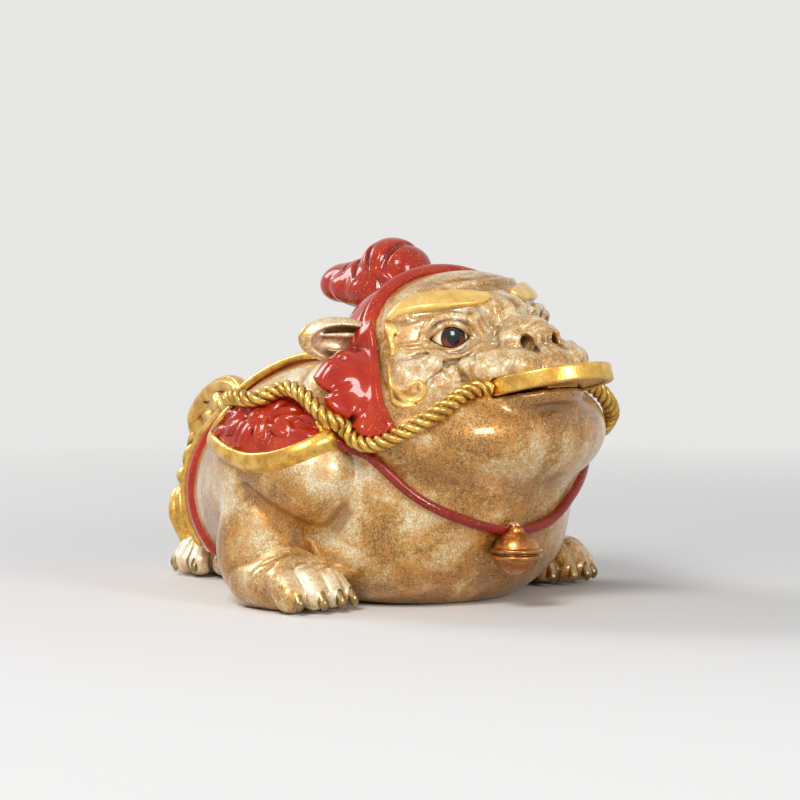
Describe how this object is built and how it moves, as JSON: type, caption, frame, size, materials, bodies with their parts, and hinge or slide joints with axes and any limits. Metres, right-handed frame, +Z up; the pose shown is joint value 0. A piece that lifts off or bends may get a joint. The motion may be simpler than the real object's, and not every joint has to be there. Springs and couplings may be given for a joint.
{
  "type": "money toad figurine",
  "caption": "Squat cast-metal toad with a hooded lion-like face, rope, bell and saddle flaps, resting flat and holding a pierced round coin in its mouth.",
  "frame": {"origin": "under the middle of the figurine's box, on the surface it rests on", "axes": "+Z up; the toad looks along -Y; its left side is +X"},
  "size_m": [0.1228, 0.1608, 0.0995],
  "materials": {
    "patina": "mottled cream, ochre and rust-brown patina on cast metal, under a clear gloss lacquer",
    "gilt": "antique gilding, bright on the ridges and brown in the recesses",
    "red_enamel": "glossy red enamel with fine gold specks",
    "eye_lacquer": "painted eye under a thick drop of clear gloss"
  },
  "bodies": {
    "root": {"toad_casting": "patina", "coin": "gilt"}
  },
  "joints": []
}
